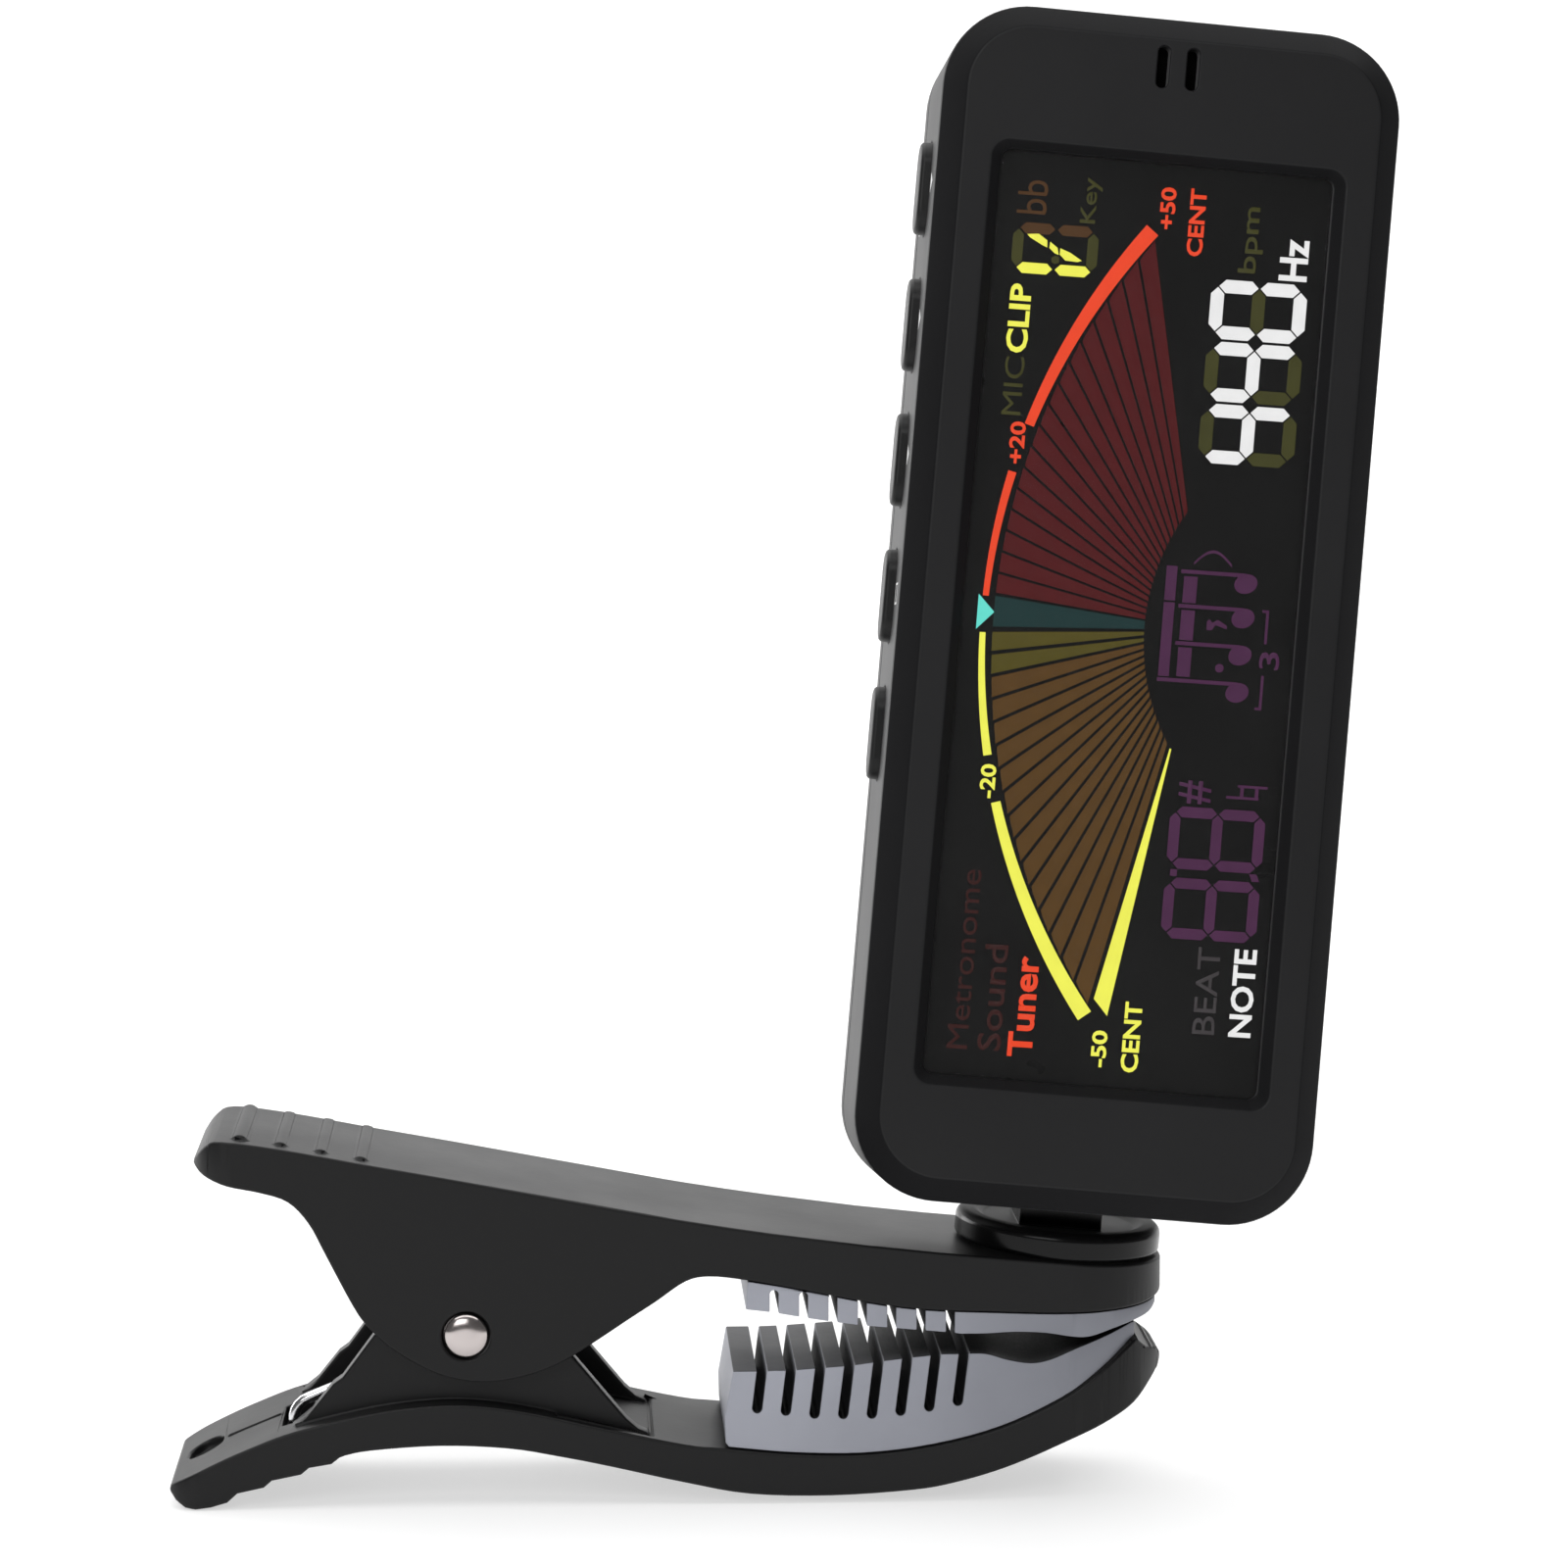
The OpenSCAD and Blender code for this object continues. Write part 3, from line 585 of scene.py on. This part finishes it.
# each wedge's colour drifts a little, as the tinted film behind the glass does
fr = Art("lcd_fan_upper", GLOW["fanred"])
wedges(fr, 0.95, 28.2, 17, 0.2)
fr.done()
fo = Art("lcd_fan_olive", GLOW["fanolive"])
wedges(fo, -5.18, -1.75, 2, 0.3)
fo.done()
fb = Art("lcd_fan_brown", GLOW["fanbrown"])
wedges(fb, -29.2, -5.18, 14, 0.25)
fb.done()
ft = Art("lcd_fan_centre", GLOW["fanteal"])
wedges(ft, -1.55, 0.85, 1, 0.1)
ft.done()

# reference pitch, 440, with its unlit segments
wh = Art("lcd_pitch_lit", GLOW["white"])
dm = Art("lcd_pitch_unlit", GLOW["olive"])
seven("4", 11.15, 11.65, 7.15, 4.4, 0.98, wh, dm)
seven("4", 11.15, 16.25, 7.15, 4.4, 0.98, wh, dm)
seven("0", 11.15, 20.85, 7.15, 4.4, 0.98, wh, dm)
wh.done()
dm.done()
# beats, all segments unlit
pu = Art("lcd_beats_unlit", GLOW["purple"])
seven("", 11.25, -23.5, 7.1, 4.5, 0.8, None, pu)
seven("", 11.25, -18.35, 7.1, 4.6, 0.8, None, pu)
pu.poly([(4.5, -18.9), (5.0, -18.9), (5.0, -18.4), (4.5, -18.4)])
pu.poly([(10.6, -18.95), (11.15, -18.95), (10.9, -18.4), (10.35, -18.4)])
pu.done()

# note name: a 14-segment "A", lying like the rest of the text
na = Art("lcd_note_lit", GLOW["yellow"])
nd = Art("lcd_note_unlit", GLOW["brownish"])
ne = Art("lcd_note_unlit_olive", GLOW["olive"])
U0, V0, HH, WW, SW = -4.62, 24.65, 6.35, 3.75, 0.8


def NT(x, y):
    return (U0 - y, V0 + x)


def nseg(art, p, q, w=SW, g=0.2):
    p, q = Vector(p), Vector(q)
    d = (q - p).normalized() * g / 2
    art.poly([NT(*c) for c in seg_poly(p + d, q - d, w)])


h = SW / 2
nseg(na, (h, 0.35), (h, HH / 2))
nseg(na, (h, HH / 2), (h, HH - 0.35))
na.poly([(-9.93, 27.54), (-9.08, 27.62), (-8.42, 27.17), (-8.38, 26.65), (-8.72, 26.79), (-9.69, 27.30)])
na.poly([(-8.19, 27.09), (-7.62, 26.68), (-7.49, 26.17), (-7.79, 26.26), (-8.22, 26.63)])
na.poly([(-7.41, 26.66), (-6.66, 26.39), (-5.75, 25.85), (-6.06, 25.74), (-6.97, 25.79), (-7.41, 26.20)])
ne.poly([(-8.01, 25.93), (-7.73, 26.10), (-7.45, 25.99), (-7.42, 25.57), (-7.74, 25.48), (-7.98, 25.59)])
nseg(ne, (h, HH - h), (WW - h, HH - h))
nseg(ne, (h, h), (WW - h, h))
nseg(nd, (WW - h, h), (WW - h, HH / 2))
nseg(nd, (WW - h, HH / 2), (WW - h, HH - h))
na.done()
nd.done()
ne.done()

words("lcd_plus_50", "+50", 0.28, 30.2, 1.15, GLOW["orange"], 3.1, bold=0.026)
words("lcd_cent_upper", "CENT", 2.5, 29.3, 1.2, GLOW["orange"], 5.0, bold=0.026)
words("lcd_plus_20", "+20", -9.42, 12.15, 1.15, GLOW["orange"], 3.1, bold=0.026)
words("lcd_minus_20", "-20", -9.5, -12.85, 1.15, GLOW["yellow"], 2.5, bold=0.026)
words("lcd_minus_50", "-50", 0.32, -31.95, 1.15, GLOW["yellow"], 2.7, bold=0.026)
words("lcd_cent_lower", "CENT", 2.65, -30.95, 1.3, GLOW["yellow"], 5.2, bold=0.026)
words("lcd_mic", "MIC", -10.05, 16.3, 1.45, GLOW["olive"], 4.3, bold=0.0)
words("lcd_clip", "CLIP", -10.05, 21.3, 1.6, GLOW["yellow"], 5.1, bold=0.026)
words("lcd_hz", "Hz", 9.95, 27.05, 2.1, GLOW["white"], 3.1, bold=0.026)
words("lcd_bpm", "bpm", 6.7, 28.3, 1.75, GLOW["olive"], 4.9)
words("lcd_key", "Key", -5.4, 30.35, 1.5, GLOW["olive"], 3.4)
words("lcd_flats", "bb", -9.75, 30.3, 2.2, GLOW["brownish"], 2.5, bold=0.0)
words("lcd_beat", "BEAT", 7.9, -27.2, 1.65, GLOW["greydim"], 6.4, bold=0.004)
words("lcd_note", "NOTE", 10.6, -27.2, 1.7, GLOW["white"], 6.5, bold=0.026)
words("lcd_tuner", "Tuner", -5.5, -29.2, 1.85, GLOW["orange"], 7.4, bold=0.026)
words("lcd_sound", "Sound", -7.8, -28.7, 1.75, GLOW["reddim"], 7.8)
words("lcd_metronome", "Metronome", -10.15, -26.0, 1.55, GLOW["reddim"], 13.2, bold=0.0)
words("lcd_sharp", "#", 5.85, -12.65, 2.4, GLOW["purple"], 1.7)
words("lcd_three", "3", 10.55, -2.6, 1.5, GLOW["purple"], 1.3)

# rhythm notes, unlit
rn = Art("lcd_rhythm_unlit", GLOW["purple"])


def blob(art, u, v, ru, rv, tilt=0.0, n=18):
    c, s_ = math.cos(tilt), math.sin(tilt)
    art.poly([(u + ru * math.cos(2 * math.pi * i / n) * c - rv * math.sin(2 * math.pi * i / n) * s_,
               v + ru * math.cos(2 * math.pi * i / n) * s_ + rv * math.sin(2 * math.pi * i / n) * c) for i in range(n)])


def bar(art, u0, u1, v0, v1):
    art.poly([(u0, v0), (u1, v0), (u1, v1), (u0, v1)])


for u0, vv in ((3.5, 3.55), (3.5, 1.0), (3.5, -1.75), (2.35, -4.5)):
    blob(rn, 8.35, vv - 0.62, 0.88, 0.72, 0.35)
    bar(rn, u0, 8.3, vv - 0.14, vv + 0.14)
bar(rn, 2.4, 3.2, -4.25, 1.2)
bar(rn, 2.4, 3.2, 1.35, 3.9)
bar(rn, 3.75, 4.75, -4.2, -2.05)
bar(rn, 3.75, 4.75, -1.5, 0.7)
bar(rn, 3.75, 4.75, 1.25, 3.2)
blob(rn, 6.9, -3.4, 0.32, 0.32)
rn.poly([(5.7, -0.65), (6.1, -0.65), (6.35, -0.25), (7.2, -0.5), (7.2, -0.25), (6.5, 0.15), (6.1, -0.1), (5.9, 0.15), (5.7, 0.0)])
# bracket of the triplet and the tie over the first note
bar(rn, 9.75, 10.25, 0.9, 1.1)
bar(rn, 10.05, 10.25, -1.4, 0.9)
bar(rn, 9.75, 10.25, -6.3, -6.1)
bar(rn, 10.05, 10.25, -6.1, -3.75)
tie = [(4.4 + 2.8 * t, 4.3 + 0.95 * math.sin(math.pi * t)) for t in [i / 10 for i in range(11)]]
rn.poly(tie + [(u, v - 0.22) for u, v in tie[::-1]])
# natural sign after the beats
bar(rn, 8.2, 10.6, -12.95, -12.75)
bar(rn, 9.0, 11.2, -12.1, -11.9)
bar(rn, 9.2, 9.45, -12.75, -12.1)
bar(rn, 10.3, 10.55, -12.75, -12.1)
rn.done()

# ------------------------------------------------------------------ printed symbols by the side keys
ink = moulded("print_white_ink", (0.75, 0.75, 0.74), 0.5, var=0.05, strength=0.1)
SIDE_U = -HEAD_W / 2
BTN_W, BTN_TOP = 7.7, (13.28, 23.44, 33.48, 43.59, 53.8)


def side_art(name, polys):
    bm = bmesh.new()
    for pts in polys:
        a = [bm.verts.new((SIDE_U - 0.012, w, z)) for w, z in pts]
        b = [bm.verts.new((SIDE_U + 0.03, w, z)) for w, z in pts]
        bm.faces.new(a)
        bm.faces.new(b[::-1])
        k = len(pts)
        for i in range(k):
            j = (i + 1) % k
            bm.faces.new((a[j], a[i], b[i], b[j]))
    bmesh.ops.recalc_face_normals(bm, faces=bm.faces)
    me = bpy.data.meshes.new(name)
    bm.to_mesh(me)
    bm.free()
    return link(name, me, ink, "head", to_m(M_HEAD))


def ring(cw, cz, r, t, a0, a1, n=20):
    o = [(cw + (r + t / 2) * math.sin(a0 + (a1 - a0) * i / n), cz + (r + t / 2) * math.cos(a0 + (a1 - a0) * i / n)) for i in range(n + 1)]
    i_ = [(cw + (r - t / 2) * math.sin(a0 + (a1 - a0) * i / n), cz + (r - t / 2) * math.cos(a0 + (a1 - a0) * i / n)) for i in range(n + 1)]
    return o + i_[::-1]


Z = [HEAD_L - b for b in BTN_TOP]
tri = lambda w, z, s: [(w - 0.75 * s, z - 0.6), (w - 0.75 * s, z + 0.9), (w + 0.55 * s, z + 0.15)]
side_art("print_power_symbol", [ring(11.6, Z[0] + 1.9, 0.85, 0.2, math.radians(35), math.radians(325)),
                                [(11.5, Z[0] + 2.1), (11.7, Z[0] + 2.1), (11.7, Z[0] + 3.0), (11.5, Z[0] + 3.0)]])
side_art("print_note_symbol", [[(11.2, Z[0] - 2.9), (11.4, Z[0] - 2.9), (11.4, Z[0] - 1.2), (11.2, Z[0] - 1.2)],
                               ring(11.62, Z[0] - 2.7, 0.27, 0.16, 0, 2 * math.pi * 0.999, 16)])
side_art("print_key_marks", [tri(4.2, Z[0], -1), tri(4.2, Z[1], -1), tri(4.2, Z[2], -1)])
sq = []
for (a, b, c, d) in ((3.4, 5.0, -0.8, -0.64), (3.4, 5.0, 0.64, 0.8), (3.4, 3.56, -0.62, 0.62), (4.84, 5.0, -0.62, 0.62)):
    sq.append([(a, Z[3] + c), (b, Z[3] + c), (b, Z[3] + d), (a, Z[3] + d)])
side_art("print_screen_symbol", sq)

# ------------------------------------------------------------------ torsion spring
WIRE = 0.42


def spring():
    px, pz, R, NT_ = -44.6, -7.2, 3.0, 4
    path = [Vector(p) for p in ((-57.5, -2.7, -15.0), (-57.57, -2.7, -14.6), (-57.55, -2.7, -14.2), (-57.42, -2.7, -13.75), (-57.2, -2.7, -13.4),
                                (-56.85, -2.7, -13.08), (-56.4, -2.7, -12.85), (-54.3, -2.7, -12.0), (-52.0, -2.7, -11.1), (-50.2, -2.7, -10.5), (-48.5, -2.7, -9.85))]
    a0, turns = 225.0, 360.0 * NT_ - 90
    n = int(turns / 9)
    for i in range(n + 1):
        a = a0 + turns * i / n
        path.append(Vector((px + R * math.cos(math.radians(a)), -2.7 + 5.4 * i / n, pz + R * math.sin(math.radians(a)))))
    path += [Vector(p) for p in ((-48.2, 2.7, -4.3), (-49.6, 2.7, -2.4), (-51.4, 2.7, 0.1), (-53.2, 2.7, 2.4), (-54.1, 2.7, 3.3), (-55.0, 2.7, 3.55))]
    # parallel frame along the path
    n = len(path)
    tan = [(path[min(i + 1, n - 1)] - path[max(i - 1, 0)]).normalized() for i in range(n)]
    up = tan[0].cross(Vector((0, 1, 0))).normalized()
    bm = bmesh.new()
    rings = []
    S = 14
    for i in range(n):
        up = (up - tan[i] * up.dot(tan[i])).normalized()
        sd = tan[i].cross(up)
        rings.append([bm.verts.new(path[i] + WIRE * (math.cos(2 * math.pi * k / S) * up + math.sin(2 * math.pi * k / S) * sd)) for k in range(S)])
    for i in range(n - 1):
        for k in range(S):
            bm.faces.new((rings[i][k], rings[i][(k + 1) % S], rings[i + 1][(k + 1) % S], rings[i + 1][k]))
    bm.faces.new(rings[0][::-1])
    bm.faces.new(rings[-1])
    bmesh.ops.recalc_face_normals(bm, faces=bm.faces)
    me = bpy.data.meshes.new("torsion_spring_wire")
    bm.to_mesh(me)
    bm.free()
    o = link("torsion_spring_wire", me, M["spring_steel"], None, to_m(M_CLIP), smooth=True, ride=False)
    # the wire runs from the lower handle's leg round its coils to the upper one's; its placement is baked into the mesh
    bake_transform(o)
    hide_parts("torsion_spring")
    return o


spring()

# ------------------------------------------------------------------ stage, light, camera
lo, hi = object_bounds()
floor_z = lo[2] - 0.00005


def sweep_floor():
    """A pale floor that curves up into a backdrop."""
    prof = [(-1.2, 0.0), (0.6, 0.0)]
    R = 0.5
    for i in range(1, 13):
        a = math.pi / 2 * i / 12
        prof.append((0.6 + R * math.sin(a), R - R * math.cos(a)))
    prof.append((1.1, 1.8))
    bm = bmesh.new()
    rows = [[bm.verts.new((x, y_, floor_z + z)) for x in (-1.6, 1.6)] for y_, z in prof]
    for a, b in zip(rows, rows[1:]):
        bm.faces.new((a[0], a[1], b[1], b[0]))
    me = bpy.data.meshes.new("floor_sweep")
    bm.to_mesh(me)
    bm.free()
    m, nt, b = mat("floor_paper")
    v = coords(nt)
    f = noise(nt, v, 3.0, 3.0)
    nt.links.new(ramp(nt, f, [(0.3, grey(0.54)), (0.7, grey(0.55))]), b.inputs["Base Color"])
    b.inputs["Emission Color"].default_value = (1, 1, 1, 1)
    b.inputs["Emission Strength"].default_value = 0.52
    b.inputs["Roughness"].default_value = 0.9
    b.inputs["Specular IOR Level"].default_value = 0.1
    o = bpy.data.objects.new("floor_sweep", me)
    coll.objects.link(o)
    me.materials.append(m)
    for p in me.polygons:
        p.use_smooth = True


sweep_floor()


def area(name, loc, target, size, power, size_y=None, color=(1, 1, 1)):
    l = bpy.data.lights.new(name, "AREA")
    l.energy = power
    l.size = size
    l.color = color
    if size_y:
        l.shape = "RECTANGLE"
        l.size_y = size_y
    o = bpy.data.objects.new(name, l)
    coll.objects.link(o)
    o.location = loc
    d = Vector(target) - Vector(loc)
    o.rotation_euler = d.to_track_quat("-Z", "Y").to_euler()
    return o


area("top_softbox", (0.0, 0.12, 0.8), (0, 0.05, 0), 1.4, 9.5, 1.1)
area("back_wash", (0.0, 0.55, 0.7), (0, 1.1, 0.35), 1.4, 5.0, 0.5)
rim = area("left_rim", (-0.5, 0.42, 0.2), (0.02, 0, 0.05), 0.35, 2.0, 0.5)
rim.data.use_shadow = False
area("front_fill", (-0.25, -0.7, 0.45), (0, 0, 0.04), 0.5, 2.0, 0.4)

world = bpy.data.worlds.new("studio")
scene.world = world
world.use_nodes = True
bg = world.node_tree.nodes["Background"]
bg.inputs["Color"].default_value = (1, 1, 1, 1)
bg.inputs["Strength"].default_value = 0.12

cam = bpy.data.cameras.new("camera")
cam.sensor_width = 36.0
cam.lens = 36.0 * 4900 / 1600
cam.clip_start, cam.clip_end = 0.01, 20
co = bpy.data.objects.new("camera", cam)
coll.objects.link(co)
psi, pit = math.radians(2.7), math.radians(6.3)
F = Vector((math.sin(psi) * math.cos(pit), math.cos(psi) * math.cos(pit), -math.sin(pit)))
Rt = Vector((math.cos(psi), -math.sin(psi), 0))
Up = Rt.cross(F)
C = (G + Vector((-37.548, -355.869, 72.122))) * MM
co.matrix_world = Matrix(((Rt.x, Up.x, -F.x, C.x), (Rt.y, Up.y, -F.y, C.y), (Rt.z, Up.z, -F.z, C.z), (0, 0, 0, 1)))
scene.camera = co
scene.view_settings.view_transform = "Standard"
